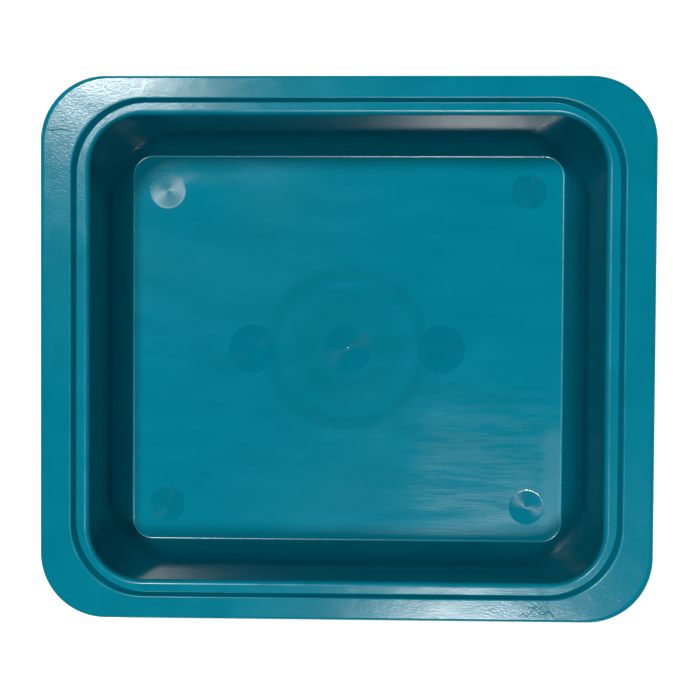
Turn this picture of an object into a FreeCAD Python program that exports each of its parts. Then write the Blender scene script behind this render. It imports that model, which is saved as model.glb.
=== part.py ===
# Rectangular hospital dish, moulded in one piece: a deep well with steep walls, a stepped seat for a lid
# round its mouth, and a flat rim flange with a downturned lip.
# Millimetres, +Z up, X along the long side. The origin is in the middle of the face that the dish stands on.
import FreeCAD, Part
import math
import os
import Sketcher

# The driving dimensions: alias, value, and what it measures.
DIMENSIONS = [
    ("rim_length", 310.0, "outside of the rim along X"),
    ("rim_width", 274.4, "outside of the rim along Y"),
    ("rim_corner", 33.0, "plan radius of the rim's outside corners"),
    ("rim_level", 84.0, "top of the rim, which is the height of the dish"),
    ("rim_edge", 2.2, "rounding of the rim's outer top edge"),
    ("lip_drop", 7.0, "height of the downturned lip"),
    ("wall", 2.4, "thickness of the walls, the rim and the seat"),
    ("mouth_length", 278.4, "mouth of the seat at the rim, along X"),
    ("mouth_width", 251.5, "mouth of the seat at the rim, along Y"),
    ("mouth_corner", 37.0, "plan radius of that mouth"),
    ("mouth_edge", 1.0, "rounding of that mouth's edge"),
    ("seat_drop", 5.0, "depth of the lid's seat below the rim"),
    ("seat_length", 274.6, "outside of the seat's ledge along X"),
    ("seat_width", 248.8, "outside of the seat's ledge along Y"),
    ("seat_corner", 36.5, "plan radius of the ledge's outside"),
    ("well_length", 261.8, "well where its walls would meet the seat, along X"),
    ("well_width", 236.6, "well where its walls would meet the seat, along Y"),
    ("well_corner", 25.8, "plan radius of the well there"),
    ("well_edge", 2.5, "rounding between the walls and the seat"),
    ("well_depth", 75.0, "depth of the well below the seat"),
    ("draft", 4.3, "how far each wall leans in over the well's depth"),
    ("foot_corner", 24.6, "plan radius of the walls where they would meet the floor"),
    ("curve_radius", 38.7, "radius of the curve by which the walls come down to the floor"),
    ("curve_turn", 35.8, "how far the curve turns before it meets the floor, in degrees"),
    ("curve_corner", 33.0, "plan radius of the walls where the curve starts"),
    ("floor_corner", 10.9, "plan radius of the floor's corners"),
    ("floor_fillet", 1.2, "rounding where the curve meets the floor"),
    ("outer_fillet", 13.5, "rounding between the base and the walls, outside"),
    ("standing_rise", 1.5, "how far the middle of the base is raised inside its standing ring"),
    ("standing_ring", 8.0, "width of the flat ring that the dish stands on"),
    ("hollow_corner", 4.0, "plan radius of that ring's inside corners"),
    ("mark_depth", 0.3, "depth of the round mould marks in the floor"),
    ("corner_mark", 19.0, "diameter of the marks near the floor's corners"),
    ("corner_mark_x", 100.0, "distance of those marks from the middle along X"),
    ("corner_mark_y", 87.3, "distance of those marks from the middle along Y"),
    ("side_mark", 25.8, "diameter of the marks beside the middle"),
    ("side_mark_x", 52.2, "distance of those marks from the middle"),
    ("middle_mark", 26.6, "diameter of the mark in the middle"),
    ("gate", 6.0, "diameter of the trimmed gate under the middle"),
    ("gate_rise", 0.8, "how far the gate stands out of the base"),
]

# Sizes that the sheet works out from those.
DERIVED = [
    ("wall_lean", "=atan(draft / well_depth) / 1 deg", "how far the walls lean from upright, in degrees"),
    (
        "curve_rise",
        "=curve_radius * (sin(wall_lean + curve_turn) - sin(wall_lean))",
        "height above the floor at which the walls start to curve in",
    ),
]

# Heights worked out from those.
SEAT_LEVEL = "sizes.rim_level - sizes.seat_drop"
FLOOR_LEVEL = "sizes.rim_level - sizes.seat_drop - sizes.well_depth"
SEAT_UNDERSIDE = "sizes.rim_level - sizes.seat_drop - sizes.wall"
LIP_LEVEL = "sizes.rim_level - sizes.lip_drop"

# Plan sizes worked out from those: length, width and corner radius of each outline.
RIM = ("sizes.rim_length", "sizes.rim_width", "sizes.rim_corner")
MOUTH = ("sizes.mouth_length", "sizes.mouth_width", "sizes.mouth_corner")
SEAT = ("sizes.seat_length", "sizes.seat_width", "sizes.seat_corner")
WELL = ("sizes.well_length", "sizes.well_width", "sizes.well_corner")
FOOT = ("sizes.well_length - 2 * sizes.draft", "sizes.well_width - 2 * sizes.draft", "sizes.foot_corner")
CURVE_LEVEL = f"{FLOOR_LEVEL} + sizes.curve_rise"
LEAN_ABOVE_CURVE = "sizes.draft * (sizes.well_depth - sizes.curve_rise) / sizes.well_depth"
CURVE = (
    f"sizes.well_length - 2 * {LEAN_ABOVE_CURVE}",
    f"sizes.well_width - 2 * {LEAN_ABOVE_CURVE}",
    "sizes.curve_corner",
)
WALL_LEAN = "sizes.wall_lean"    # in degrees

FLAT = 0.01        # how closely an edge must lie at its level and on its outline
GAUGE = 0.001      # the smallest change in volume that counts as a cut or an addition
CURVE_SPANS = 4    # how many spans the curve at the foot of the walls has

doc = FreeCAD.newDocument("hospital_dish")
sheet = doc.addObject("Spreadsheet::Sheet", "sizes")
for row, (alias, value, meaning) in enumerate(DIMENSIONS + DERIVED, start=1):
    sheet.set(f"A{row}", alias)
    sheet.set(f"B{row}", str(value))
    sheet.set(f"C{row}", meaning)
    sheet.setAlias(f"B{row}", alias)
doc.recompute()

body = doc.addObject("PartDesign::Body", "dish")
body.Label = "dish"
plan = next(item for item in body.Origin.OriginFeatures if item.Role == "XY_Plane")


def measure(expression):
    """The number that an expression in the sheet's sizes comes to."""
    return float(body.evalExpression(expression))


def grown(outline, margin):
    """The outline moved outwards all round by an expression, its corners with it."""
    length, width, corner = outline
    return (f"{length} + 2 * ({margin})", f"{width} + 2 * ({margin})", f"{corner} + ({margin})")


def plan_sketch(name, level):
    """An empty sketch, level with XY, at the height that the expression gives."""
    sketch = body.newObject("Sketcher::SketchObject", name)
    sketch.AttachmentSupport = [(plan, "")]
    sketch.MapMode = "FlatFace"
    sketch.setExpression("AttachmentOffset.Base.z", level)
    return sketch


def drive(sketch, constraint, name, expression):
    """Adds a sized constraint and binds it to the expression."""
    index = sketch.addConstraint(constraint)
    sketch.renameConstraint(index, name)
    sketch.setExpression(f"Constraints.{name}", expression)


def add_outline(sketch, outline, name):
    """Adds a rectangle with round corners, centred on the origin, with its three sizes bound to the sheet."""
    length, width, radius = (measure(size) for size in outline)
    across, up = length / 2 - radius, width / 2 - radius
    quarter = math.pi / 2
    centres = [(across, up), (-across, up), (-across, -up), (across, -up)]
    arcs = []
    for turn, (x, y) in enumerate(centres):
        circle = Part.Circle(FreeCAD.Vector(x, y, 0), FreeCAD.Vector(0, 0, 1), radius)
        arcs.append(sketch.addGeometry(Part.ArcOfCircle(circle, turn * quarter, (turn + 1) * quarter), False))
    sides = []
    for turn in range(4):
        start = sketch.getPoint(arcs[turn], 2)
        end = sketch.getPoint(arcs[(turn + 1) % 4], 1)
        sides.append(sketch.addGeometry(Part.LineSegment(start, end), False))
    for turn in range(4):
        sketch.addConstraint(Sketcher.Constraint("Tangent", arcs[turn], 2, sides[turn], 1))
        sketch.addConstraint(Sketcher.Constraint("Tangent", sides[turn], 2, arcs[(turn + 1) % 4], 1))
        sketch.addConstraint(Sketcher.Constraint("Vertical" if turn % 2 else "Horizontal", sides[turn]))
    for arc in arcs[1:]:
        sketch.addConstraint(Sketcher.Constraint("Equal", arcs[0], arc))
    sketch.addConstraint(Sketcher.Constraint("Symmetric", arcs[0], 3, arcs[2], 3, -1, 1))
    top, left, bottom, right = sides
    drive(sketch, Sketcher.Constraint("DistanceX", left, 1, right, 1, length), f"{name}_length", outline[0])
    drive(sketch, Sketcher.Constraint("DistanceY", bottom, 1, top, 1, width), f"{name}_width", outline[1])
    drive(sketch, Sketcher.Constraint("Radius", arcs[0], radius), f"{name}_corner", outline[2])


def outline_sketch(name, level, *outlines):
    """A sketch at a level, holding one or more nested outlines."""
    sketch = plan_sketch(name, level)
    for number, outline in enumerate(outlines, start=1):
        add_outline(sketch, outline, f"outline{number}")
    return sketch


def finished():
    """The body's newest feature, after a recompute."""
    doc.recompute()
    return body.Tip


def loft(kind, name, lower, *upper):
    """A loft through outlines, added or cut: straight-sided between two, and smooth through more."""
    feature = body.newObject(f"PartDesign::{kind}", name)
    feature.Profile = lower
    feature.Sections = list(upper)
    feature.Ruled = len(upper) == 1
    return feature


def extrude(kind, name, sketch, length, upwards):
    """A pad or a pocket from a sketch. A pad goes up unless it is reversed, and a pocket goes down."""
    feature = body.newObject(f"PartDesign::{kind}", name)
    feature.Profile = sketch
    feature.Reversed = upwards == (kind == "Pocket")
    feature.setExpression("Length", length)
    return feature


def outline_edges(shape, level, outline):
    """Names of the edges that lie at a level and follow the outline."""
    height, length, width = measure(level), measure(outline[0]), measure(outline[1])
    names = []
    for number, edge in enumerate(shape.Edges, start=1):
        box = edge.BoundBox
        if abs(box.ZMin - height) > FLAT or abs(box.ZMax - height) > FLAT:
            continue
        reach_x = max(abs(box.XMin), abs(box.XMax))
        reach_y = max(abs(box.YMin), abs(box.YMax))
        if abs(reach_x - length / 2) < FLAT or abs(reach_y - width / 2) < FLAT:
            names.append(f"Edge{number}")
    return names


def round_edges(name, level, outline, radius):
    """A fillet along the whole outline at that level."""
    before = finished()
    names = outline_edges(before.Shape, level, outline)
    if not names:
        raise RuntimeError(f"{name}: no edge follows that outline")
    feature = body.newObject("PartDesign::Fillet", name)
    feature.Base = (before, names)
    feature.setExpression("Radius", radius)
    return feature


# The well's outside, from the standing face up to the underside of the seat. Each wall is one thickness
# outside the well, so both outlines are drawn where that leaning wall reaches their level.
lean_below_floor = f"sizes.draft * ({FLOOR_LEVEL}) / sizes.well_depth"
lean_below_seat = "sizes.draft * sizes.wall / sizes.well_depth"
standing_edge = grown(FOOT, f"sizes.wall - {lean_below_floor}")
neck_edge = grown(WELL, f"sizes.wall - {lean_below_seat}")
loft(
    "AdditiveLoft",
    "well_outside",
    outline_sketch("standing_outline", "0", standing_edge),
    outline_sketch("neck_outline", SEAT_UNDERSIDE, neck_edge),
)

# The seat's outside, from its underside up to the rim.
seat_outside = grown(SEAT, "sizes.wall")
seat_block = outline_sketch("seat_block_outline", SEAT_UNDERSIDE, seat_outside)
extrude("Pad", "seat_outside", seat_block, "sizes.seat_drop + sizes.wall", upwards=True)

# The rim: a plate with a downturned lip, hollowed from below between the lip and the seat.
rim_block = outline_sketch("rim_outline", LIP_LEVEL, RIM)
extrude("Pad", "rim", rim_block, "sizes.lip_drop", upwards=True)
lip_inside = grown(RIM, "-sizes.wall")
channel = outline_sketch("lip_channel_outline", LIP_LEVEL, lip_inside, seat_outside)
extrude("Pocket", "lip_channel", channel, "sizes.lip_drop - sizes.wall", upwards=True)

# The lid's seat and the well, both a little narrower at the bottom so that the moulding leaves its core.
loft(
    "SubtractiveLoft",
    "lid_seat",
    outline_sketch("seat_outline", SEAT_LEVEL, SEAT),
    outline_sketch("mouth_outline", "sizes.rim_level", MOUTH),
)
loft(
    "SubtractiveLoft",
    "well",
    outline_sketch("curve_outline", CURVE_LEVEL, CURVE),
    outline_sketch("well_mouth_outline", SEAT_LEVEL, WELL),
)


def curve_section(share):
    """An outline part of the way down the curve: 0 where it leaves the walls, and 1 where it meets the floor.

    The curve is an arc in section. From the wall's lean it turns towards the floor, and the plan corners
    tighten in step with how far it has come in.
    """
    angle = f"(({WALL_LEAN}) + {share} * sizes.curve_turn)"
    inset = f"sizes.curve_radius * (cos({WALL_LEAN}) - cos({angle}))"
    whole = f"sizes.curve_radius * (cos({WALL_LEAN}) - cos(({WALL_LEAN}) + sizes.curve_turn))"
    corner = f"sizes.curve_corner + (sizes.floor_corner - sizes.curve_corner) * ({inset}) / ({whole})"
    level = f"{CURVE_LEVEL} - sizes.curve_radius * (sin({angle}) - sin({WALL_LEAN}))"
    outline = (f"{CURVE[0]} - 2 * ({inset})", f"{CURVE[1]} - 2 * ({inset})", corner)
    return level, outline


# The curve at the foot of the walls, from the floor up.
floor_level, floor_outline = curve_section(1)
curve_sketches = [
    outline_sketch(f"curve_outline_{number}", *curve_section(1 - number / CURVE_SPANS))
    for number in range(CURVE_SPANS + 1)
]
loft("SubtractiveLoft", "well_foot", *curve_sketches)

# The base is raised inside a ring, so that the dish stands on the ring alone.
ring_margin = "sizes.outer_fillet + sizes.standing_ring"
ring_inside = (
    f"{standing_edge[0]} - 2 * ({ring_margin})",
    f"{standing_edge[1]} - 2 * ({ring_margin})",
    "sizes.hollow_corner",
)
raised = outline_sketch("standing_ring_outline", "0", ring_inside)
extrude("Pocket", "standing_hollow", raised, "sizes.standing_rise", upwards=True)

round_edges("floor_rounding", floor_level, floor_outline, "sizes.floor_fillet")
round_edges("base_rounding", "0", standing_edge, "sizes.outer_fillet")
round_edges("rim_rounding", "sizes.rim_level", RIM, "sizes.rim_edge")
round_edges("mouth_rounding", "sizes.rim_level", MOUTH, "sizes.mouth_edge")
round_edges("well_rounding", SEAT_LEVEL, WELL, "sizes.well_edge")


def add_mark(sketch, x, y, name, diameter):
    """A circle whose middle stands x and y from the origin. Both are expressions, or None on an axis."""
    centre = FreeCAD.Vector(*(measure(place) if place else 0 for place in (x, y)), 0)
    circle = sketch.addGeometry(Part.Circle(centre, FreeCAD.Vector(0, 0, 1), measure(diameter) / 2), False)
    drive(sketch, Sketcher.Constraint("Diameter", circle, measure(diameter)), f"{name}_diameter", diameter)
    for axis, place, other_axis in (("X", x, -2), ("Y", y, -1)):
        if place:
            distance = Sketcher.Constraint(f"Distance{axis}", -1, 1, circle, 3, measure(place))
            drive(sketch, distance, f"{name}_{axis.lower()}", place)
        else:
            sketch.addConstraint(Sketcher.Constraint("PointOnObject", circle, 3, other_axis))


# Round marks of the mould's ejectors and air valves, sunk a little into the floor.
marks = plan_sketch("mould_mark_outlines", FLOOR_LEVEL)
add_mark(marks, None, None, "middle", "sizes.middle_mark")
for side_name, side in (("left", "-"), ("right", "")):
    add_mark(marks, f"{side}sizes.side_mark_x", None, side_name, "sizes.side_mark")
    for end_name, end in (("front", "-"), ("back", "")):
        name = f"{end_name}_{side_name}"
        add_mark(marks, f"{side}sizes.corner_mark_x", f"{end}sizes.corner_mark_y", name, "sizes.corner_mark")
extrude("Pocket", "mould_marks", marks, "sizes.mark_depth", upwards=False)

# The trimmed gate, in the raised middle of the base.
gate_sketch = plan_sketch("gate_outline", "sizes.standing_rise")
add_mark(gate_sketch, None, None, "gate", "sizes.gate")
extrude("Pad", "gate", gate_sketch, "sizes.gate_rise", upwards=False)
doc.recompute()


def check_document():
    """Stops with a message if anything failed, or if a cut or an addition changed nothing."""
    for item in doc.Objects:
        if "Invalid" in item.State or "Error" in item.State:
            raise RuntimeError(f"{item.Name} failed: {item.State}")
    volume = 0.0
    for feature in body.Group:
        if not feature.isDerivedFrom("PartDesign::Feature"):
            continue
        if abs(feature.Shape.Volume - volume) < GAUGE:
            raise RuntimeError(f"{feature.Name} changed nothing")
        volume = feature.Shape.Volume
        print(f"{feature.Name:18s} {volume / 1000:10.3f} cm3")
    if body.Shape.isNull() or not body.Shape.isValid() or len(body.Shape.Solids) != 1:
        raise RuntimeError("the dish isn't one valid solid")


check_document()
os.makedirs("parts", exist_ok=True)
body.Shape.exportStep(f"parts/{body.Label}.step")
print("size", body.Shape.BoundBox)
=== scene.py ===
"""The looks of a rectangular hospital dish, injection moulded in one piece from teal polypropylene.

The whole moulding is one closed mesh. Its section, from the floor up the wall, over the lid's seat
and the rim and down the outside to the base, is carried round a family of rectangles with round
corners. A lattice with round patches for the mould's marks closes the floor, and a second one
closes the base.
"""

import logging
import math
from dataclasses import dataclass, field
from enum import Enum
from typing import Any

import bmesh
import bpy
import numpy as np
from mathutils import Euler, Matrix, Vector


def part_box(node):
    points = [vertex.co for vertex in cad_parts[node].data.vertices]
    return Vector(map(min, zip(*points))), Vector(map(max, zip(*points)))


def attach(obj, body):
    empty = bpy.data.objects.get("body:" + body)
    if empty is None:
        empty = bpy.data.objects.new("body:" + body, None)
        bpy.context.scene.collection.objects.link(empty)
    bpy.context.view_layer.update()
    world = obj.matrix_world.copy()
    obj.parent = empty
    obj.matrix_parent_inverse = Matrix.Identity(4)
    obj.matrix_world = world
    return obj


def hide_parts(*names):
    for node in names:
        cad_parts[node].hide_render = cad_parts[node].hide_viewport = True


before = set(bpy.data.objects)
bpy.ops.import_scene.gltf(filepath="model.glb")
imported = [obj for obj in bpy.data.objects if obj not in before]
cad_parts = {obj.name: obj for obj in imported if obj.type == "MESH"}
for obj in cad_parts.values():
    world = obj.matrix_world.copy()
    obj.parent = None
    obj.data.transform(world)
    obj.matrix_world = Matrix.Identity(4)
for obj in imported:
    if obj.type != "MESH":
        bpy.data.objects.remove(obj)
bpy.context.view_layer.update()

MM = 0.001
NODE = "dish"
BODY = "root"
GRAIN_MAP = "grain"
POLYPROPYLENE_IOR = 1.49

Tree = bpy.types.NodeTree
Socket = bpy.types.NodeSocket

log = logging.getLogger("dish")


class Surface(Enum):
    """Which finish a face has. The value is its place in the mesh's list of materials."""

    RIM = 0
    WALL = 1
    FLOOR = 2
    MARK = 3
    OUTSIDE = 4
    EDGE = 5
    LIP = 6


# ------------------------------------------------------------------------------
# Shapes
# ------------------------------------------------------------------------------


@dataclass(frozen=True)
class Outline:
    """A rectangle with round corners at a height, centred on the origin, in millimetres."""

    half_length: float
    half_width: float
    corner: float
    level: float

    def grown(self, margin: float) -> "Outline":
        """The outline moved outwards all round, its corners with it."""
        return Outline(
            self.half_length + margin, self.half_width + margin, self.corner + margin, self.level
        )

    def at(self, level: float) -> "Outline":
        """The same outline at another height."""
        return Outline(self.half_length, self.half_width, self.corner, level)

    def row(self) -> np.ndarray:
        """Its four numbers as an array."""
        return np.array([self.half_length, self.half_width, self.corner, self.level])


@dataclass(frozen=True)
class Station:
    """A corner of the section: its place, its rounding, and the finish of the stretch that leads to it.

    The stretch is cut into `steps` strips, and the rounding into `arc_steps`. A burnished rounding
    has the lips' finish, and any other is shared between the finishes of the stretches beside it.
    """

    outline: Outline
    rounding: float
    surface: Surface
    steps: int
    arc_steps: int = 6
    burnished: bool = False


@dataclass
class Patch:
    """A piece of surface: points in millimetres, a map that follows the tool marks, and quads.

    The map's u runs along the tool marks. Quads hold indices into the points.
    """

    points: np.ndarray
    grain: np.ndarray
    quads: np.ndarray
    surfaces: np.ndarray


def grid_quads(rows: int, columns: int) -> np.ndarray:
    """Quads of a grid of points stored row by row.

    Args:
        rows: how many rows of points there are.
        columns: how many points each row has.

    Returns:
        An array of (rows - 1) * (columns - 1) quads, anticlockwise where rows run up and columns
        run right.
    """
    first = np.arange(rows * columns).reshape(rows, columns)[:-1, :-1].ravel()
    return np.stack([first, first + 1, first + columns + 1, first + columns], axis=1)


def grid_patch(points: np.ndarray, grain: np.ndarray, surfaces: np.ndarray) -> Patch:
    """A patch from a grid of points.

    Args:
        points: rows by columns by 3.
        grain: rows by columns by 2.
        surfaces: the finish of each strip between two rows.

    Returns:
        The patch.
    """
    rows, columns = points.shape[:2]
    return Patch(
        points.reshape(-1, 3),
        grain.reshape(-1, 2),
        grid_quads(rows, columns),
        np.repeat(surfaces, columns - 1),
    )


def round_corner(
    before: np.ndarray, corner: np.ndarray, after: np.ndarray, radius: float, steps: int
) -> np.ndarray:
    """The rounding of one corner of the section.

    The arc is worked out in the plane of half length and height. Each of its points is the corner
    plus so much of the way back and so much of the way on, and the half width and plan radius move
    by the same shares, so that the arc meets both stretches exactly even where the plan radius
    changes along them.

    Args:
        before: the station before, as half length, half width, plan radius and height.
        corner: the station to round.
        after: the station after.
        radius: the radius of the arc.
        steps: how many strips it has.

    Returns:
        An array of steps + 1 rows.
    """
    section = [0, 3]
    back, on = before - corner, after - corner
    back = back / np.linalg.norm(back[section])
    on = on / np.linalg.norm(on[section])
    half_angle = math.acos(float(np.clip(back[section] @ on[section], -1, 1))) / 2
    reach = radius / math.tan(half_angle)
    bisector = back[section] + on[section]
    centre = bisector / np.linalg.norm(bisector) * radius / math.sin(half_angle)
    start = (back[section] * reach - centre) / radius
    end = (on[section] * reach - centre) / radius
    sweep = math.pi - 2 * half_angle
    share = np.linspace(0, 1, steps + 1)[:, None]
    spokes = (np.sin((1 - share) * sweep) * start + np.sin(share * sweep) * end) / math.sin(sweep)
    arc = centre + radius * spokes
    shares = np.linalg.solve(np.stack([back[section], on[section]], axis=1), arc.T).T
    return corner + shares[:, :1] * back + shares[:, 1:] * on


@dataclass(frozen=True)
class Lattice:
    """Lines of a level rectangular grid, in millimetres, with a square corner block at each corner.

    The rings of the section have one column for each point on the grid's edge. The columns that
    belong to a corner block turn through the ring's round corner, and the others stand along its
    straight sides.
    """

    stops_x: tuple[float, ...]
    stops_y: tuple[float, ...]
    cells_x: tuple[int, ...]
    cells_y: tuple[int, ...]

    def lines(self, stops: tuple[float, ...], cells: tuple[int, ...]) -> np.ndarray:
        """Grid lines along one axis: evenly spaced between stops, from 0 outwards, and mirrored."""
        edges = (0.0, *stops)
        spans = [np.linspace(a, b, n, endpoint=False) for a, b, n in zip(edges, stops, cells)]
        half = np.append(np.concatenate(spans), stops[-1])
        return np.concatenate([-half[:0:-1], half])

    @property
    def x(self) -> np.ndarray:
        """Grid lines along X."""
        return self.lines(self.stops_x, self.cells_x)

    @property
    def y(self) -> np.ndarray:
        """Grid lines along Y."""
        return self.lines(self.stops_y, self.cells_y)

    def edge(self, low_i: int, high_i: int, low_j: int, high_j: int) -> tuple[np.ndarray, np.ndarray]:
        """The grid's points round a block, anticlockwise, with the first one again at the end.

        Args:
            low_i: first line along X.
            high_i: last line along X.
            low_j: first line along Y.
            high_j: last line along Y.

        Returns:
            Line numbers along X, and along Y.
        """
        across, up = np.arange(low_i, high_i), np.arange(low_j, high_j)
        i = [across, np.full(len(up), high_i), across[::-1] + 1, np.full(len(up) + 1, low_i)]
        j = [np.full(len(across), low_j), up, np.full(len(across), high_j), np.append(up[::-1] + 1, low_j)]
        return np.concatenate(i), np.concatenate(j)

    def columns(self) -> np.ndarray:
        """Where each column of a ring stands: rows of centre u, v and outward direction x, y.

        u and v run from -1 to 1 between the centres of the ring's round corners. On a straight side
        the direction is square to the side, and through a corner it turns evenly by a quarter turn.
        """
        x, y = self.x, self.y
        last_i, last_j = len(x) - 1, len(y) - 1
        block_i, block_j = self.cells_x[-1], self.cells_y[-1]
        i, j = self.edge(0, last_i, 0, last_j)
        u = np.clip(x[i] / x[last_i - block_i], -1, 1)
        v = np.clip(y[j] / y[last_j - block_j], -1, 1)
        in_corner = (np.abs(u) == 1) & (np.abs(v) == 1)
        along_x = np.abs(y[j]) == y[-1]
        steps = np.where(along_x, block_i - np.minimum(i, last_i - i), block_j + np.minimum(j, last_j - j))
        turn = np.where(in_corner, steps / (block_i + block_j), np.where(along_x, 0.0, 1.0)) * math.pi / 2
        return np.stack([u, v, np.sign(u) * np.sin(turn), np.sign(v) * np.cos(turn)], axis=1)


def ring_points(rows: np.ndarray, columns: np.ndarray) -> np.ndarray:
    """Points of the section carried round its outlines.

    A point is the centre of its column plus the plan radius times the column's direction, so on a
    straight side it lies on the side, and through a corner it turns on the corner's arc.

    Args:
        rows: half length, half width, plan radius and height of each ring.
        columns: u, v and direction of each column.

    Returns:
        Rings by columns by 3.
    """
    length, width, corner, level = (rows[:, i, None] for i in range(4))
    x = columns[:, 0] * (length - corner) + columns[:, 2] * corner
    y = columns[:, 1] * (width - corner) + columns[:, 3] * corner
    return np.stack([x, y, np.broadcast_to(level, x.shape)], axis=2)


# Rings of a mark's edge, from outside in: radii as shares of the mark's, and depths as shares of its sink.
EDGE_RADII = np.array([1.03, 1.012, 1.0, 0.988, 0.975])
EDGE_DEPTHS = np.array([0.0, 0.0, 0.25, 0.85, 1.0])
FACE_RADII = np.linspace(0.95, 0.0, 15)
PIP_WIDTH = 0.07


@dataclass(frozen=True)
class MouldMark:
    """A round mark in the floor: the end of an ejector or an air valve, turned on a lathe.

    Attributes:
        centre: where it is, in millimetres.
        radius: its radius.
        block: half sizes of the rectangle of grid that it stands in.
        sink: how far its face lies under the floor. A negative sink stands out.
        dish: how much deeper the face is in the middle than at the edge.
        pip: height of the small centre that the lathe tool leaves.
    """

    centre: tuple[float, float]
    radius: float
    block: tuple[float, float]
    sink: float
    dish: float
    pip: float

    def profile(self) -> tuple[np.ndarray, np.ndarray]:
        """Radii and depths of the face's rings, from just outside the edge to the middle.

        The edge is a short slope. The face then falls as a parabola towards the middle, where the
        pip stands as a narrow bell.
        """
        pip = self.pip * np.exp(-((FACE_RADII / PIP_WIDTH) ** 2))
        face = self.sink + self.dish * (1 - FACE_RADII**2) - pip
        radii = np.concatenate([EDGE_RADII, FACE_RADII]) * self.radius
        return radii, np.concatenate([EDGE_DEPTHS * self.sink, face])


@dataclass(frozen=True)
class Panel:
    """A level panel closed by a lattice: the floor seen from above, or the base from below."""

    lattice: Lattice
    level: float
    marks: tuple[MouldMark, ...]
    surface: Surface
    facing_up: bool
    ripple: float

    def relief(self, x: np.ndarray, y: np.ndarray) -> np.ndarray:
        """How far the panel stands proud, in millimetres.

        Cooling leaves a faint ring round the gate, a shallow sink inside it, and long low waves of
        melt that spread from the gate. All of it fades out before the edge, so that the panel meets
        the rounding exactly.
        """
        edge_x, edge_y = self.lattice.x[-1], self.lattice.y[-1]
        away = np.hypot(x, y)
        ring_radius, ring_width, sink_radius, sink_width = 44.0, 5.0, 33.0, 9.0
        wave_pitch, wave_reach, edge_band = 8.5, 70.0, 9.0
        ring = np.exp(-(((away - ring_radius) / ring_width) ** 2))
        ring -= 0.6 * np.exp(-(((away - sink_radius) / sink_width) ** 2))
        bend = 1.6 * np.sin(np.arctan2(y, x) * 2 + 0.6)
        waves = np.sin(away / wave_pitch + bend) * np.exp(-away / wave_reach)
        warp = np.sin(x / 31.0 + 0.8) * np.cos(y / 27.0 - 0.5)
        fade_x = np.clip((edge_x - np.abs(x)) / edge_band, 0, 1)
        fade_y = np.clip((edge_y - np.abs(y)) / edge_band, 0, 1)
        strength = fade_x**2 * (3 - 2 * fade_x) * fade_y**2 * (3 - 2 * fade_y)
        return self.ripple * strength * (0.5 * ring + 0.35 * waves + 1.2 * warp)

    def placed(self, x: np.ndarray, y: np.ndarray, depth: np.ndarray | float = 0.0) -> np.ndarray:
        """Points of the panel over x and y, sunk by a depth."""
        rise = self.relief(x, y) - depth
        return np.stack([x, y, self.level + (rise if self.facing_up else -rise)], axis=-1)

    def turned(self, patch: Patch) -> Patch:
        """The patch with its faces towards the panel's open side."""
        if not self.facing_up:
            patch.quads = patch.quads[:, ::-1]
        return patch

    def block_of(self, mark: MouldMark) -> tuple[int, int, int, int]:
        """The grid lines that bound a mark's block."""
        x, y = self.lattice.x, self.lattice.y
        sides = [
            np.argmin(np.abs(lines - (middle + side * half)))
            for lines, middle, half in zip((x, y), mark.centre, mark.block)
            for side in (-1, 1)
        ]
        return tuple(int(side) for side in sides)

    def sheet(self) -> Patch:
        """The lattice without the blocks of the marks."""
        x, y = self.lattice.x, self.lattice.y
        grid_x, grid_y = np.meshgrid(x, y)
        open_cells = np.ones((len(y) - 1, len(x) - 1), bool)
        for mark in self.marks:
            low_i, high_i, low_j, high_j = self.block_of(mark)
            open_cells[low_j:high_j, low_i:high_i] = False
        quads = grid_quads(len(y), len(x))[open_cells.ravel()]
        points = self.placed(grid_x, grid_y).reshape(-1, 3)
        surfaces = np.full(len(quads), self.surface.value)
        return self.turned(Patch(points, points[:, :2] * MM, quads, surfaces))

    def mark_patch(self, mark: MouldMark) -> Patch:
        """A mark and the grid round it: rings that change from the block's rectangle to the mark's circle.

        The rings outside the mark are an even blend of the rectangle and the circle, and those
        inside are the circle made smaller, down to one point. The map's u goes round the mark, as
        the lathe tool did.
        """
        i, j = self.lattice.edge(*self.block_of(mark))
        middle = np.array(mark.centre)
        rim = np.stack([self.lattice.x[i], self.lattice.y[j]], axis=1) - middle
        angle = np.unwrap(np.arctan2(rim[:, 1], rim[:, 0]))
        circle = np.stack([np.cos(angle), np.sin(angle)], axis=1)
        radii, depths = mark.profile()
        blend = np.linspace(0, 1, 5)[:-1, None, None]
        outer = (1 - blend) * rim + blend * circle * radii[0]
        inner = radii[:, None, None] * circle
        flat = np.concatenate([outer, inner]) + middle
        depth = np.concatenate([np.zeros(len(outer)), depths])
        points = self.placed(flat[..., 0], flat[..., 1], depth[:, None])
        spread = np.broadcast_to(angle / (2 * math.pi), flat.shape[:2])
        away = np.concatenate([np.full(len(outer), radii[0]), radii])[:, None] * MM
        grain = np.stack([spread, np.broadcast_to(away, flat.shape[:2])], axis=2)
        surfaces = np.full(len(flat) - 1, Surface.MARK.value)
        surfaces[: len(outer)] = self.surface.value
        return self.turned(grid_patch(points, grain, surfaces))

    def margin(self, ring: np.ndarray) -> Patch:
        """The band between the lattice's edge and the section's first or last ring."""
        i, j = self.lattice.edge(0, len(self.lattice.x) - 1, 0, len(self.lattice.y) - 1)
        inner = self.placed(self.lattice.x[i], self.lattice.y[j])
        share = np.linspace(0, 1, 4)[:, None, None]
        points = (1 - share) * inner + share * ring
        patch = grid_patch(points, points[..., :2] * MM, np.full(3, self.surface.value))
        patch.quads = patch.quads[:, ::-1]
        return self.turned(patch)


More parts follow.
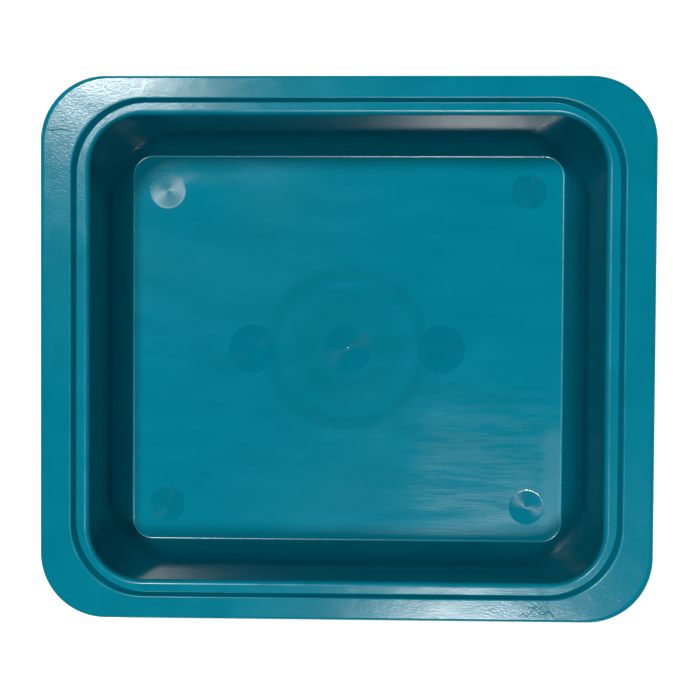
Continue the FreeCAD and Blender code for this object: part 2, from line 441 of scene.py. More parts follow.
def section_rows(
    first: np.ndarray, edge_strips: int, stations: list[Station], end: Outline
) -> tuple[np.ndarray, np.ndarray]:
    """Rings of the section, from the given first rings through every station's rounding.

    Each stretch between two roundings is cut evenly, with a narrow strip at either end, so that a
    flat face stays flat right up to the rounding beside it.

    Args:
        first: the rings that come before the first stretch.
        edge_strips: how many of the first strips have the edge's finish.
        stations: the section's corners in order.
        end: an outline on the stretch after the last corner.

    Returns:
        Half length, half width, plan radius and height of each ring, and the finish of each strip
        between them.
    """
    corners = [first[-1], *(station.outline.row() for station in stations), end.row()]
    rows = [first]
    finishes = [Surface.EDGE.value] * edge_strips
    finishes += [stations[0].surface.value] * (len(first) - 1 - edge_strips)
    for number, station in enumerate(stations, start=1):
        arc = round_corner(*corners[number - 1 : number + 2], station.rounding, station.arc_steps)
        last = rows[-1][-1]
        guard = min(0.3 / float(np.linalg.norm(arc[0] - last)), 0.1)
        shares = np.linspace(guard, 1 - guard, station.steps - 1)[:, None]
        rows.append(last + shares * (arc[0] - last))
        finishes += [station.surface.value] * station.steps
        rows.append(arc)
        after = stations[number].surface if number < len(stations) else station.surface
        half = station.arc_steps // 2
        sides = [station.surface.value] * half + [after.value] * (station.arc_steps - half)
        finishes += [Surface.LIP.value] * station.arc_steps if station.burnished else sides
    return np.concatenate(rows), np.array(finishes)


# ------------------------------------------------------------------------------
# Finishes
# ------------------------------------------------------------------------------


def linear(code: str) -> tuple[float, float, float, float]:
    """An sRGB hex colour as linear red, green, blue and alpha."""
    channels = [int(code[place : place + 2], 16) / 255 for place in (1, 3, 5)]
    return (*(c / 12.92 if c <= 0.04045 else ((c + 0.055) / 1.055) ** 2.4 for c in channels), 1.0)


def add_node(
    tree: Tree,
    kind: str,
    settings: dict[str, Any] | None = None,
    inputs: dict[str | int, Any] | None = None,
) -> bpy.types.Node:
    """Adds a node, with its options and whatever goes into its sockets.

    Args:
        tree: the material's node tree.
        kind: the node's type.
        settings: the node's own options.
        inputs: for each input socket, a constant or the output that feeds it.

    Returns:
        The node.
    """
    node = tree.nodes.new(kind)
    for name, setting in (settings or {}).items():
        setattr(node, name, setting)
    for socket, source in (inputs or {}).items():
        if isinstance(source, Socket):
            tree.links.new(source, node.inputs[socket])
        else:
            node.inputs[socket].default_value = source
    return node


# Settings of the sums.
MULTIPLY_ADD, MULTIPLY, ADD, SUBTRACT, ABSOLUTE, SINE, COSINE, LENGTH = (
    {"operation": name}
    for name in ("MULTIPLY_ADD", "MULTIPLY", "ADD", "SUBTRACT", "ABSOLUTE", "SINE", "COSINE", "LENGTH")
)
# Settings of a smooth step, and the inputs that turn it round to run from 1 down to 0.
SMOOTH_STEP = {"interpolation_type": "SMOOTHSTEP"}
DOWN = {"To Min": 1.0, "To Max": 0.0}
# The ends between which nearly all of a noise lies.
NOISE_LOW, NOISE_HIGH = 0.3, 0.7
# The pigment where the clouds are deepest and lightest, as shares of its colour.
DEEPEST, LIGHTEST = 0.86, 1.08
# Distance from the gate and width of each of the two darker rings, in millimetres.
DARKER_RINGS = ((22.0, 18.0), (42.0, 7.0))
# Strokes of a duller place: about 33 mm long and 4 mm apart.
STROKES_PER_METRE = (30.0, 260.0, 100.0)


@dataclass(frozen=True)
class Relief:
    """One layer of fine relief: noise whose features have a real size along each axis."""

    size: tuple[float, float, float]
    height: float
    detail: float = 2.0

    def height_socket(self, tree: Tree, place: Socket) -> Socket:
        """Nodes that give the layer's height in millimetres.

        Args:
            tree: the material's node tree.
            place: the coordinates, in metres.

        Returns:
            The height's socket.
        """
        scale = tuple(1 / (side * MM) for side in self.size)
        stretch = add_node(tree, "ShaderNodeMapping", inputs={"Vector": place, "Scale": scale})
        noise = add_node(
            tree,
            "ShaderNodeTexNoise",
            inputs={
                "Vector": stretch.outputs[0], "Scale": 1.0, "Detail": self.detail, "Roughness": 0.55
            },
        )
        height = add_node(tree, "ShaderNodeMath", MULTIPLY, {0: noise.outputs["Fac"], 1: self.height})
        return height.outputs["Value"]


@dataclass(frozen=True)
class Fan:
    """Fine strokes that fan out from a mark's middle, where the melt and the polishing ran outwards."""

    strokes: float
    height: float

    def height_socket(self, tree: Tree, place: Socket) -> Socket:
        """Nodes that give the strokes' height in millimetres.

        The grain map's u is the share of a turn round the mark. Its cosine and sine walk round a
        circle in a noise field, so that the strokes close on themselves.

        Args:
            tree: the material's node tree.
            place: not used, because the strokes read the grain map.

        Returns:
            The height's socket.
        """
        grain = add_node(tree, "ShaderNodeUVMap", {"uv_map": GRAIN_MAP})
        turn = add_node(tree, "ShaderNodeSeparateXYZ", inputs={0: grain.outputs["UV"]})
        angle = add_node(
            tree, "ShaderNodeMath", MULTIPLY, {0: turn.outputs[0], 1: 2 * math.pi}
        ).outputs["Value"]
        across = add_node(tree, "ShaderNodeMath", COSINE, {0: angle})
        up = add_node(tree, "ShaderNodeMath", SINE, {0: angle})
        circle = add_node(
            tree, "ShaderNodeCombineXYZ", inputs={0: across.outputs["Value"], 1: up.outputs["Value"]}
        )
        noise = add_node(
            tree,
            "ShaderNodeTexNoise",
            inputs={"Vector": circle.outputs[0], "Scale": self.strokes / (2 * math.pi), "Detail": 2.0},
        )
        height = add_node(tree, "ShaderNodeMath", MULTIPLY, {0: noise.outputs["Fac"], 1: self.height})
        return height.outputs["Value"]


@dataclass(frozen=True)
class FlowLine:
    """A wavy line where two streams of melt met: a fine groove, with painted shade along it that makes the
    colour darker.

    Attributes:
        centre: its middle, in millimetres.
        reach: half its length along X.
        lean: how far it rises for each millimetre along X.
        swing: half the height of its waves.
        pitch: length of one wave.
        width: half its width.
        bends: how many irregular bends it has for each metre, which is one every 4.5 mm or so.
        full_share: the share of its length that is at full strength. The rest fades out.
    """

    centre: tuple[float, float]
    reach: float
    lean: float
    swing: float
    pitch: float
    width: float
    bends: float = 220.0
    full_share: float = 0.6

    def mask(self, tree: Tree, place: Socket) -> Socket:
        """Nodes that give 1 on the line and 0 away from it.

        The distance from the line is y minus the lean times x minus a sine of x, and a little noise
        bends it.

        Args:
            tree: the material's node tree.
            place: the coordinates, in metres.

        Returns:
            The mask's socket.
        """
        middle = (self.centre[0] * MM, self.centre[1] * MM, 0.0)
        offset = add_node(tree, "ShaderNodeVectorMath", SUBTRACT, {0: place, 1: middle})
        axes = add_node(tree, "ShaderNodeSeparateXYZ", inputs={0: offset.outputs["Vector"]})
        x, y = axes.outputs[0], axes.outputs[1]
        bend = add_node(tree, "ShaderNodeTexNoise", inputs={"Vector": place, "Scale": self.bends})
        turn = add_node(tree, "ShaderNodeMath", MULTIPLY, {0: x, 1: 2 * math.pi / (self.pitch * MM)})
        wave = add_node(tree, "ShaderNodeMath", SINE, {0: turn.outputs["Value"]})
        path = add_node(tree, "ShaderNodeMath", MULTIPLY, {0: x, 1: self.lean})
        for swing in (wave.outputs["Value"], bend.outputs["Fac"]):
            path = add_node(
                tree,
                "ShaderNodeMath",
                MULTIPLY_ADD,
                {0: swing, 1: self.swing * MM, 2: path.outputs["Value"]},
            )
        beside = add_node(tree, "ShaderNodeMath", SUBTRACT, {0: y, 1: path.outputs["Value"]})
        away = add_node(tree, "ShaderNodeMath", ABSOLUTE, {0: beside.outputs["Value"]})
        along = add_node(tree, "ShaderNodeMath", ABSOLUTE, {0: x})
        reach = self.reach * MM
        near, inside = (
            add_node(
                tree,
                "ShaderNodeMapRange",
                SMOOTH_STEP,
                {"Value": distance.outputs["Value"], "From Min": full, "From Max": none, **DOWN},
            )
            for distance, full, none in (
                (away, 0.0, self.width * MM),
                (along, reach * self.full_share, reach),
            )
        )
        mask = add_node(tree, "ShaderNodeMath", MULTIPLY, {0: near.outputs[0], 1: inside.outputs[0]})
        return mask.outputs["Value"]


@dataclass(frozen=True)
class GlossPatch:
    """A place where the mould's finish is duller or glossier, so that a light's glare spreads or tightens.

    Attributes:
        centre: its middle, in millimetres.
        half: half its length and half its width.
        soft: how wide its edge is.
        rise: how much rougher it is. A negative rise is a glossier place.
        streaky: whether it breaks up into strokes that run with the floor's.
    """

    centre: tuple[float, float]
    half: tuple[float, float]
    soft: float
    rise: float
    streaky: bool = False

    def rise_socket(self, tree: Tree, place: Socket) -> Socket:
        """Nodes that give the added roughness: a smooth step down across each side, times the strokes.

        Args:
            tree: the material's node tree.
            place: the coordinates, in metres.

        Returns:
            The added roughness, as a socket.
        """
        middle = (self.centre[0] * MM, self.centre[1] * MM, 0.0)
        offset = add_node(tree, "ShaderNodeVectorMath", SUBTRACT, {0: place, 1: middle})
        away = add_node(tree, "ShaderNodeVectorMath", ABSOLUTE, {0: offset.outputs["Vector"]})
        axes = add_node(tree, "ShaderNodeSeparateXYZ", inputs={0: away.outputs["Vector"]})
        factors = [
            add_node(
                tree,
                "ShaderNodeMapRange",
                SMOOTH_STEP,
                {
                    "Value": axes.outputs[axis],
                    "From Min": (half - self.soft / 2) * MM,
                    "From Max": (half + self.soft / 2) * MM,
                    **DOWN,
                },
            ).outputs["Result"]
            for axis, half in enumerate(self.half)
        ]
        if self.streaky:
            factors.append(self.strokes(tree, place))
        total = factors[0]
        for factor in (*factors[1:], self.rise):
            total = add_node(tree, "ShaderNodeMath", MULTIPLY, {0: total, 1: factor}).outputs["Value"]
        return total

    def strokes(self, tree: Tree, place: Socket) -> Socket:
        """Nodes that give 1 on a stroke and 0 between strokes, from noise stretched along X."""
        stretch = add_node(tree, "ShaderNodeMapping", inputs={"Vector": place, "Scale": STROKES_PER_METRE})
        noise = add_node(
            tree,
            "ShaderNodeTexNoise",
            inputs={"Vector": stretch.outputs[0], "Scale": 1.0, "Detail": 5.0, "Roughness": 0.7},
        )
        step = add_node(
            tree,
            "ShaderNodeMapRange",
            SMOOTH_STEP,
            {"Value": noise.outputs["Fac"], "From Min": 0.35, "From Max": 0.6},
        )
        return step.outputs["Result"]


@dataclass(frozen=True)
class Polypropylene:
    """Injection-moulded polypropylene, coloured through with teal pigment.

    The mould decides how it looks: the plastic copies polished steel as a soft gloss, ground steel
    as fine strokes, and sparked or blasted steel as a satin grain. The pigment is never quite even
    where the melt flowed in.

    Attributes:
        name: the material's name.
        colour: the pigment, in sRGB.
        roughness: the shader's roughness.
        unevenness: how far the roughness wanders either way.
        streak: size in millimetres of the pigment's faint clouds.
        layers: the layers of relief.
        specular: the shader's specular level. A matt pigment and a fine grain hold it under the
            usual 0.5.
        anisotropy: how much further the gloss spreads across the tool's strokes than along them.
            The strokes run outwards from the middle of a mark, so the spread follows the grain
            map's u.
        ring_darkening: how much deeper the colour is in two rings round the gate.
        lines: the flow lines, whose grooves also get painted shade in the colour.
        patches: the duller and glossier places.
        groove: depth of the flow lines in millimetres.
    """

    name: str
    colour: str
    roughness: float
    unevenness: float
    streak: tuple[float, float, float]
    layers: tuple[Relief | Fan, ...]
    specular: float = 0.2
    anisotropy: float = 0.0
    ring_darkening: float = 0.0
    lines: tuple[FlowLine, ...] = ()
    patches: tuple[GlossPatch, ...] = ()
    groove: float = 0.12

    def build(self) -> bpy.types.Material:
        """The material, with its colour, its roughness and all the relief as bump."""
        material = bpy.data.materials.new(self.name)
        material.use_nodes = True
        tree = material.node_tree
        shader = tree.nodes["Principled BSDF"]
        shader.inputs["IOR"].default_value = POLYPROPYLENE_IOR
        shader.inputs["Specular IOR Level"].default_value = self.specular
        place = add_node(tree, "ShaderNodeTexCoord").outputs["Object"]
        cloud_scale = tuple(1 / (side * MM) for side in self.streak)
        stretch = add_node(tree, "ShaderNodeMapping", inputs={"Vector": place, "Scale": cloud_scale})
        cloud = add_node(
            tree,
            "ShaderNodeTexNoise",
            inputs={"Vector": stretch.outputs["Vector"], "Scale": 1.0, "Detail": 4.0, "Roughness": 0.6},
        ).outputs["Fac"]
        masks = [line.mask(tree, place) for line in self.lines]
        self.link_colour(tree, shader, place, cloud, masks)
        self.link_roughness(tree, shader, place, cloud)
        self.link_bump(tree, shader, place, masks)
        return material

    def link_roughness(
        self, tree: Tree, shader: bpy.types.Node, place: Socket, cloud: Socket
    ) -> None:
        """Feeds the shader's roughness, which wanders with the clouds, and sets its anisotropy.

        Args:
            tree: the material's node tree.
            shader: the shader.
            place: the coordinates, in metres.
            cloud: the clouds.
        """
        rough = add_node(
            tree,
            "ShaderNodeMapRange",
            inputs={
                "Value": cloud,
                "From Min": NOISE_LOW,
                "From Max": NOISE_HIGH,
                "To Min": self.roughness - self.unevenness,
                "To Max": self.roughness + self.unevenness,
            },
        ).outputs["Result"]
        for patch in self.patches:
            rise = patch.rise_socket(tree, place)
            rough = add_node(tree, "ShaderNodeMath", ADD, {0: rough, 1: rise}).outputs["Value"]
        tree.links.new(rough, shader.inputs["Roughness"])
        if self.anisotropy:
            shader.inputs["Anisotropic"].default_value = self.anisotropy
            around = add_node(tree, "ShaderNodeTangent", {"direction_type": "UV_MAP", "uv_map": GRAIN_MAP})
            tree.links.new(around.outputs["Tangent"], shader.inputs["Tangent"])

    def link_bump(
        self, tree: Tree, shader: bpy.types.Node, place: Socket, masks: list[Socket]
    ) -> None:
        """Feeds the shader's normal: the sum of the layers' heights, less the flow lines' grooves.

        Args:
            tree: the material's node tree.
            shader: the shader.
            place: the coordinates, in metres.
            masks: the flow lines' masks.
        """
        heights = [layer.height_socket(tree, place) for layer in self.layers]
        total = heights[0]
        for height in heights[1:]:
            total = add_node(tree, "ShaderNodeMath", ADD, {0: total, 1: height}).outputs["Value"]
        for mask in masks:
            total = add_node(
                tree, "ShaderNodeMath", MULTIPLY_ADD, {0: mask, 1: -self.groove, 2: total}
            ).outputs["Value"]
        bump = add_node(tree, "ShaderNodeBump", inputs={"Height": total, "Strength": 1.0, "Distance": MM})
        tree.links.new(bump.outputs["Normal"], shader.inputs["Normal"])

    def link_colour(
        self,
        tree: Tree,
        shader: bpy.types.Node,
        place: Socket,
        cloud: Socket,
        masks: list[Socket],
    ) -> None:
        """Feeds the shader's colour: the pigment, varied by the clouds, darker in two rings round the gate,
        and darker along the flow lines with painted shade.

        Each ring's darkening is a smooth bell over the distance from the gate.

        Args:
            tree: the material's node tree.
            shader: the shader.
            place: the coordinates, in metres.
            cloud: the clouds.
            masks: the flow lines' masks.
        """
        shade = cloud
        if self.ring_darkening:
            flat = add_node(tree, "ShaderNodeVectorMath", MULTIPLY, {0: place, 1: (1.0, 1.0, 0.0)})
            length = add_node(tree, "ShaderNodeVectorMath", LENGTH, {0: flat.outputs["Vector"]})
            for middle, width in DARKER_RINGS:
                beside = add_node(
                    tree,
                    "ShaderNodeMath",
                    SUBTRACT,
                    {0: length.outputs["Value"], 1: middle * MM},
                )
                away = add_node(tree, "ShaderNodeMath", ABSOLUTE, {0: beside.outputs["Value"]})
                bell = add_node(
                    tree,
                    "ShaderNodeMapRange",
                    SMOOTH_STEP,
                    {"Value": away.outputs["Value"], "From Min": 0.0, "From Max": width * MM, **DOWN},
                )
                shade = add_node(
                    tree,
                    "ShaderNodeMath",
                    MULTIPLY_ADD,
                    {0: bell.outputs["Result"], 1: -self.ring_darkening, 2: shade},
                ).outputs["Value"]
        # Painted shade along the flow lines' grooves: the colour goes towards its deepest there.
        for mask in masks:
            shade = add_node(tree, "ShaderNodeMath", SUBTRACT, {0: shade, 1: mask}).outputs["Value"]
        share = add_node(tree, "ShaderNodeMapRange", SMOOTH_STEP, {"Value": shade})
        red, green, blue, _ = linear(self.colour)
        deep, light = (
            (depth * red, depth * green, depth * blue, 1.0) for depth in (DEEPEST, LIGHTEST)
        )
        tint = add_node(
            tree, "ShaderNodeMix", {"data_type": "RGBA"}, {0: share.outputs["Result"], 6: deep, 7: light}
        )
        tree.links.new(tint.outputs[2], shader.inputs["Base Color"])


TEAL = "#00768B"

# Blasted steel: a satin grain of about 0.5 mm, drawn at 0.9 mm, on a face that shrank in low waves.
SATIN_RIM = Polypropylene(
    "satin_moulded_polypropylene",
    TEAL,
    roughness=0.13,
    unevenness=0.015,
    streak=(28.0, 28.0, 28.0),
    layers=(Relief((0.9, 0.9, 0.9), 0.03), Relief((18.0, 18.0, 18.0), 0.08, detail=1.0)),
    specular=0.115,
    # Flow lines on the rim: grooves whose colour is darkened with painted shade.
    lines=(
        FlowLine((-146.0, 109.5), 8.0, -0.15, 0.7, 15.0, 0.35),
        FlowLine((94.0, -132.0), 6.0, 0.6, 1.2, 6.1, 0.3),
        FlowLine((101.0, -133.0), 9.0, -0.3, 1.3, 8.3, 0.3),
    ),
)
# Polished steel: a soft gloss that mirrors the floor. Its colour is darker than the teal of the other
# faces: painted shade on the walls and on the curve at their foot.
GLOSSY_WALL_PAINTED_SHADE = Polypropylene(
    "polished_painted_shade_polypropylene",
    "#006072",
    roughness=0.12,
    unevenness=0.015,
    streak=(40.0, 40.0, 12.0),
    layers=(Relief((9.0, 9.0, 30.0), 0.025, detail=1.0),),
    specular=0.065,
    patches=(
        GlossPatch((-114.0, 105.0), (9.0, 9.0), 14.0, 0.15),
        GlossPatch((114.0, -105.0), (7.0, 7.0), 12.0, 0.12),
    ),
)
# The line where the mould's floor meets its walls: burnished by the fit, it takes the light.
BURNISHED_EDGE = Polypropylene(
    "burnished_edge_polypropylene",
    TEAL,
    roughness=0.24,
    unevenness=0.03,
    streak=(9.0, 9.0, 9.0),
    layers=(Relief((2.5, 2.5, 2.5), 0.01),),
    specular=0.8,
)
# The rounded lips of the mouth and the well, brighter than the faces beside them from wiping and stacking.
WIPED_LIP = Polypropylene(
    "wiped_lip_polypropylene",
    TEAL,
    roughness=0.22,
    unevenness=0.05,
    streak=(14.0, 14.0, 14.0),
    layers=(Relief((2.5, 2.5, 2.5), 0.012),),
    specular=0.3,
)
# Ground steel: fine strokes along the length, drawn about 0.9 mm apart so that they show.
STROKED_FLOOR = Polypropylene(
    "ground_finish_polypropylene",
    TEAL,
    roughness=0.12,
    unevenness=0.012,
    streak=(50.0, 14.0, 20.0),
    layers=(
        Relief((30.0, 0.9, 1.0), 0.014),
        Relief((0.9, 0.9, 0.9), 0.02),
        Relief((16.0, 16.0, 16.0), 0.014, detail=1.0),
    ),
    specular=0.115,
    ring_darkening=0.3,
    patches=(
        GlossPatch((78.0, -62.0), (38.0, 34.0), 26.0, 0.09, streaky=True),
        GlossPatch((116.0, -74.0), (5.0, 30.0), 13.0, 0.17),
        GlossPatch((-96.0, 88.0), (34.0, 26.0), 46.0, -0.055),
    ),
)
# Turned and polished steel pins: strokes that fan out from the middle, in a slightly deeper colour than the
# floor's teal. The deeper colour is painted shade, since the pins' faces are the same plastic.
TURNED_MARK_PAINTED_SHADE = Polypropylene(
    "turned_finish_painted_shade_polypropylene",
    "#006F84",
    roughness=0.095,
    unevenness=0.01,
    streak=(20.0, 20.0, 20.0),
    layers=(Fan(50.0, 0.02), Relief((0.9, 0.9, 0.9), 0.01)),
    specular=0.2,
    anisotropy=0.8,
    patches=(
        GlossPatch((-100.0, 87.3), (10.0, 10.0), 1.0, 0.2),
        GlossPatch((-52.2, 0.0), (13.5, 13.5), 1.0, -0.035),
        GlossPatch((52.2, 0.0), (13.5, 13.5), 1.0, -0.035),
    ),
)
# Milled steel, stroked up the draft of the outside walls.
OUTSIDE_FACE = Polypropylene(
    "milled_finish_polypropylene",
    TEAL,
    roughness=0.32,
    unevenness=0.03,
    streak=(30.0, 30.0, 60.0),
    layers=(Relief((1.4, 1.4, 1.4), 0.006), Relief((22.0, 22.0, 40.0), 0.04, detail=1.0)),
)

FINISHES = {
    Surface.RIM: SATIN_RIM,
    Surface.WALL: GLOSSY_WALL_PAINTED_SHADE,
    Surface.FLOOR: STROKED_FLOOR,
    Surface.MARK: TURNED_MARK_PAINTED_SHADE,
    Surface.OUTSIDE: OUTSIDE_FACE,
    Surface.EDGE: BURNISHED_EDGE,
    Surface.LIP: WIPED_LIP,
}


# ------------------------------------------------------------------------------
# The dish
# ------------------------------------------------------------------------------


@dataclass
class DishMoulding:
    """The whole moulding. Sizes are in millimetres, and the rim's come from the CAD node's box.

    The inside runs from the floor up the well to the lid's seat and the rim, and the outside lies
    one wall's thickness away. Every outline is a half length, a half width, a plan radius and a
    height.
    """

    rim: Outline = field(init=False)
    well_top: Outline = Outline(130.9, 118.3, 25.8, 79.0)
    foot: Outline = Outline(126.6, 114.0, 24.6, 4.0)
    seat: Outline = Outline(137.3, 124.4, 36.5, 79.0)
    mouth: Outline = Outline(139.2, 125.75, 37.0, 84.0)
    rim_corner: float = 33.0
    wall: float = 2.4
    lip_drop: float = 7.0
    standing_ring: float = 8.0
    standing_rise: float = 1.5
    hollow_corner: float = 4.0
    curve_radius: float = 38.7
    curve_turn: float = 35.8
    curve_corner: float = 33.0
    curve_rings: int = 21
    floor_corner: float = 10.9
    floor_fillet: float = 1.2
    fillet_strips: int = 8
    sharp: float = 0.3
    base_fillet: float = 13.5
    floor_lattice: Lattice = Lattice(
        (15.2, 37.4, 67.0, 88.7, 111.3), (15.2, 76.0, 98.6), (8, 10, 14, 10, 12), (8, 28, 12)
    )
    base_lattice: Lattice = Lattice(
        (17.4, 42.9, 76.8, 101.7, 104.7), (17.9, 89.4, 92.4), (8, 10, 14, 10, 12), (8, 28, 12)
    )

    def __post_init__(self) -> None:
        """Takes the rim's outline from the CAD node's box."""
        low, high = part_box(NODE)
        self.rim = Outline(high.x / MM, high.y / MM, self.rim_corner, high.z / MM)

    @property
    def lean(self) -> float:
        """How far the walls lean out for each millimetre up."""
        return (self.well_top.half_length - self.foot.half_length) / (self.well_top.level - self.foot.level)

    def curve_rows(self) -> np.ndarray:
        """Rings from the floor's small rounding up the curve at the foot of the walls.

        In section the curve is an arc. It starts upright but for the walls' lean, and has turned
        towards the floor by the time it reaches it. The plan corners tighten in step with how far
        the arc has come in.
        """
        upright = math.atan(self.lean)
        angles = upright + np.radians(np.linspace(self.curve_turn, 0, self.curve_rings))
        inset = self.curve_radius * (math.cos(upright) - np.cos(angles))
        rise = self.curve_radius * (math.sin(angles[0]) - np.sin(angles))
        reach = (self.well_top.level - self.foot.level - rise[-1]) * self.lean
        corner = self.curve_corner + (self.floor_corner - self.curve_corner) * inset / inset[0]
        length = self.well_top.half_length - reach - inset
        width = self.well_top.half_width - reach - inset
        curve = np.stack([length, width, corner, self.foot.level + rise], axis=1)
        further_in = curve[0] - np.array([9.0, 9.0, 9.0, 0.0])
        fillet = round_corner(further_in, curve[0], curve[1], self.floor_fillet, self.fillet_strips)
        return np.concatenate([fillet, curve[1:]])

    def stations(self) -> tuple[list[Station], Outline]:
        """The section's corners, from the top of the well to the base's hollow, and an outline in it."""
        lean = self.lean
        neck_level = self.seat.level - self.wall
        neck = self.well_top.grown(self.wall - lean * self.wall).at(neck_level)
        standing = self.foot.grown(self.wall - lean * self.foot.level).at(0.0)
        margin = self.base_fillet + self.standing_ring
        hollow = Outline(
            standing.half_length - margin, standing.half_width - margin, self.hollow_corner, 0.0
        )
        lip = self.rim.at(self.rim.level - self.lip_drop)
        lip_inside = lip.grown(-self.wall)
        channel = self.rim.level - self.wall
        seat_outside = self.seat.grown(self.wall)
        corners = [
            Station(self.well_top, 2.5, Surface.WALL, 6, 10, burnished=True),
            Station(self.seat, 0.4, Surface.RIM, 4, 4),
            Station(self.mouth, 1.0, Surface.RIM, 4, 8, burnished=True),
            Station(self.rim, 2.2, Surface.RIM, 5, 10),
            Station(lip, self.sharp, Surface.RIM, 4, 4),
            Station(lip_inside, self.sharp, Surface.OUTSIDE, 3, 4),
            Station(lip_inside.at(channel), self.sharp, Surface.OUTSIDE, 3, 4),
            Station(seat_outside.at(channel), self.sharp, Surface.OUTSIDE, 4, 4),
            Station(seat_outside.at(neck_level), self.sharp, Surface.OUTSIDE, 3, 4),
            Station(neck, self.sharp, Surface.OUTSIDE, 3, 4),
            Station(standing, self.base_fillet, Surface.OUTSIDE, 6, 14),
            Station(hollow, self.sharp, Surface.OUTSIDE, 3, 4),
            Station(hollow.at(self.standing_rise), self.sharp, Surface.OUTSIDE, 3, 4),
        ]
        return corners, hollow.at(self.standing_rise).grown(-1.0)

    def marks(self) -> tuple[MouldMark, ...]:
        """The floor's round marks: four near the corners, two beside the middle, and the middle."""
        corners = tuple(
            MouldMark((end * 100.0, side * 87.3), 9.5, (11.3, 11.3), sink=0.02, dish=0.13, pip=0.03)
            for end in (-1, 1)
            for side in (-1, 1)
        )
        sides = tuple(
            MouldMark((end * 52.2, 0.0), 12.9, (14.8, 15.2), sink=0.02, dish=0.0, pip=0.0)
            for end in (-1, 1)
        )
        middle = MouldMark((0.0, 0.0), 13.3, (15.2, 15.2), sink=0.03, dish=0.1, pip=0.1)
        return (*corners, *sides, middle)

    def patches(self) -> list[Patch]:
        """Every patch of the moulding's skin, which together close it."""
        rows, finishes = section_rows(self.curve_rows(), self.fillet_strips, *self.stations())
        columns = self.floor_lattice.columns()
        rings = ring_points(rows, columns)
        skin = grid_patch(rings, rings[..., :2] * MM, finishes)
        skin.quads = skin.quads[:, ::-1]
        floor = Panel(self.floor_lattice, self.foot.level, self.marks(), Surface.FLOOR, True, 0.1)
        gate = MouldMark((0.0, 0.0), 3.0, (17.4, 17.9), sink=-0.8, dish=0.0, pip=0.0)
        base = Panel(self.base_lattice, self.standing_rise, (gate,), Surface.OUTSIDE, False, 0.1)
        return [
            skin,
            floor.margin(rings[0]),
            floor.sheet(),
            *(floor.mark_patch(mark) for mark in floor.marks),
            base.margin(rings[-1]),
            base.sheet(),
            *(base.mark_patch(mark) for mark in base.marks),
        ]

    def build(self) -> bpy.types.Object:
        """The moulding as one closed mesh in metres, its patches joined where they meet."""
        patches = self.patches()
        starts = np.cumsum([0, *(len(patch.points) for patch in patches[:-1])])
        points = np.concatenate([patch.points for patch in patches]) * MM
        quads = np.concatenate([patch.quads + start for patch, start in zip(patches, starts)])
        grain = np.concatenate([patch.grain for patch in patches])
        mesh = bpy.data.meshes.new("dish_moulding")
        mesh.from_pydata(points, [], quads.tolist())
        grain_map = mesh.uv_layers.new(name=GRAIN_MAP)
        grain_map.data.foreach_set("uv", grain[quads.ravel()].ravel())
        surfaces = np.concatenate([patch.surfaces for patch in patches]).astype(np.int32)
        mesh.polygons.foreach_set("material_index", surfaces)
        skin = bmesh.new()
        skin.from_mesh(mesh)
        bmesh.ops.remove_doubles(skin, verts=skin.verts, dist=0.002 * MM)
        skin.to_mesh(mesh)
        skin.free()
        mesh.polygons.foreach_set("use_smooth", np.ones(len(mesh.polygons), bool))
        mesh.update()
        piece = bpy.data.objects.new("dish_moulding", mesh)
        bpy.context.collection.objects.link(piece)
        return piece

    def dress(self, piece: bpy.types.Object) -> None:
        """Gives the moulding its finishes, in the order of the surfaces' values."""
        for surface in Surface:
            piece.data.materials.append(FINISHES[surface].build())
        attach(piece, BODY)
        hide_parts(NODE)


# ------------------------------------------------------------------------------
# The studio
# ------------------------------------------------------------------------------


@dataclass(frozen=True)
class Softbox:
    """An oval light aimed at the dish. Its slope is how far it stands to the side for each metre up."""

    name: str
    slope: tuple[float, float]
    distance: float
    size: tuple[float, float]
    watts: float

    def build(self, target: Vector) -> bpy.types.Object:
        """The light, at its distance from the target."""
        light = bpy.data.lights.new(self.name, "AREA")
        light.shape = "ELLIPSE"
        light.size, light.size_y = self.size
        light.energy = self.watts
        lamp = bpy.data.objects.new(self.name, light)
        direction = Vector((*self.slope, 1.0)).normalized()
        lamp.location = target + direction * self.distance
        lamp.rotation_euler = direction.to_track_quat("Z", "Y").to_euler()
        bpy.context.collection.objects.link(lamp)
        return lamp


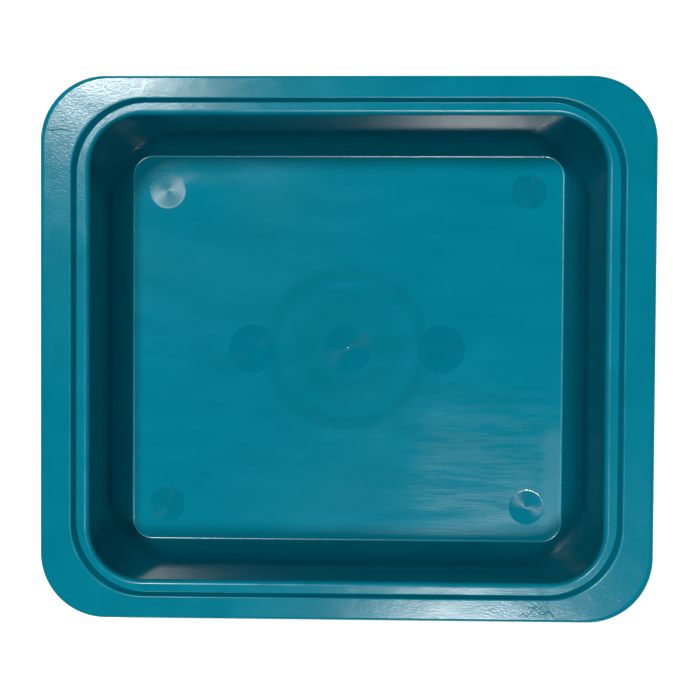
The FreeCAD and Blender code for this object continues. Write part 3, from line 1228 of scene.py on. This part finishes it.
@dataclass
class Studio:
    """A camera straight above the dish, lights over its back left and its front, and a white table."""

    camera_above_rim: float = 0.761
    camera_offset: tuple[float, float] = (0.00575, 0.00235)
    camera_tilt: tuple[float, float, float] = (-1.737, 1.870, 0.302)
    lens: float = 77.76
    shift: tuple[float, float] = (0.0599, 0.0579)
    lights: tuple[Softbox, ...] = (
        Softbox("back_light", (-0.2, 0.245), 8.0, (0.75, 1.1), 430.0),
        Softbox("front_light", (0.085, -0.255), 8.0, (0.65, 0.85), 320.0),
    )
    surround: float = 0.012
    table_glow: float = 0.55
    table_half_side: float = 30.0

    def add_camera(self) -> None:
        """The camera, with a small shift and no depth of field."""
        camera = bpy.data.cameras.new("camera")
        camera.lens = self.lens
        camera.sensor_width = 36.0
        camera.shift_x, camera.shift_y = self.shift
        camera.clip_start = 0.05
        stand = bpy.data.objects.new("camera", camera)
        rim_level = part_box(NODE)[1].z
        stand.location = (*self.camera_offset, rim_level + self.camera_above_rim)
        stand.rotation_euler = Euler([math.radians(angle) for angle in self.camera_tilt])
        bpy.context.collection.objects.link(stand)
        bpy.context.scene.camera = stand

    def add_table(self) -> None:
        """A matt white table that glows a little, as a light table does."""
        mesh = bpy.data.meshes.new("table")
        side = np.array([[-1, -1, 0], [1, -1, 0], [1, 1, 0], [-1, 1, 0]]) * self.table_half_side
        mesh.from_pydata(side.tolist(), [], [(0, 1, 2, 3)])
        table = bpy.data.objects.new("table", mesh)
        bpy.context.collection.objects.link(table)
        material = bpy.data.materials.new("matt_white_table")
        material.use_nodes = True
        shader = material.node_tree.nodes["Principled BSDF"]
        shader.inputs["Base Color"].default_value = linear("#F4F4F4")
        shader.inputs["Roughness"].default_value = 0.9
        shader.inputs["Specular IOR Level"].default_value = 0.0
        shader.inputs["Emission Color"].default_value = linear("#FFFFFF")
        shader.inputs["Emission Strength"].default_value = self.table_glow
        mesh.materials.append(material)

    def build(self) -> None:
        """Camera, lights, table and a dim surround."""
        self.add_camera()
        self.add_table()
        target = Vector((0, 0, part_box(NODE)[1].z))
        for light in self.lights:
            light.build(target)
        world = bpy.data.worlds.new("surround")
        world.use_nodes = True
        background = world.node_tree.nodes["Background"]
        background.inputs["Color"].default_value = linear("#FFFFFF")
        background.inputs["Strength"].default_value = self.surround
        bpy.context.scene.world = world
        bpy.context.scene.view_settings.view_transform = "Standard"


def main() -> None:
    """Builds the dish and the studio."""
    logging.basicConfig(level=logging.INFO, format="%(name)s: %(message)s")
    Studio().build()
    dish = DishMoulding()
    piece = dish.build()
    dish.dress(piece)
    log.info("%s: %d points, %d faces", piece.name, len(piece.data.vertices), len(piece.data.polygons))


if __name__ == "__main__":
    main()
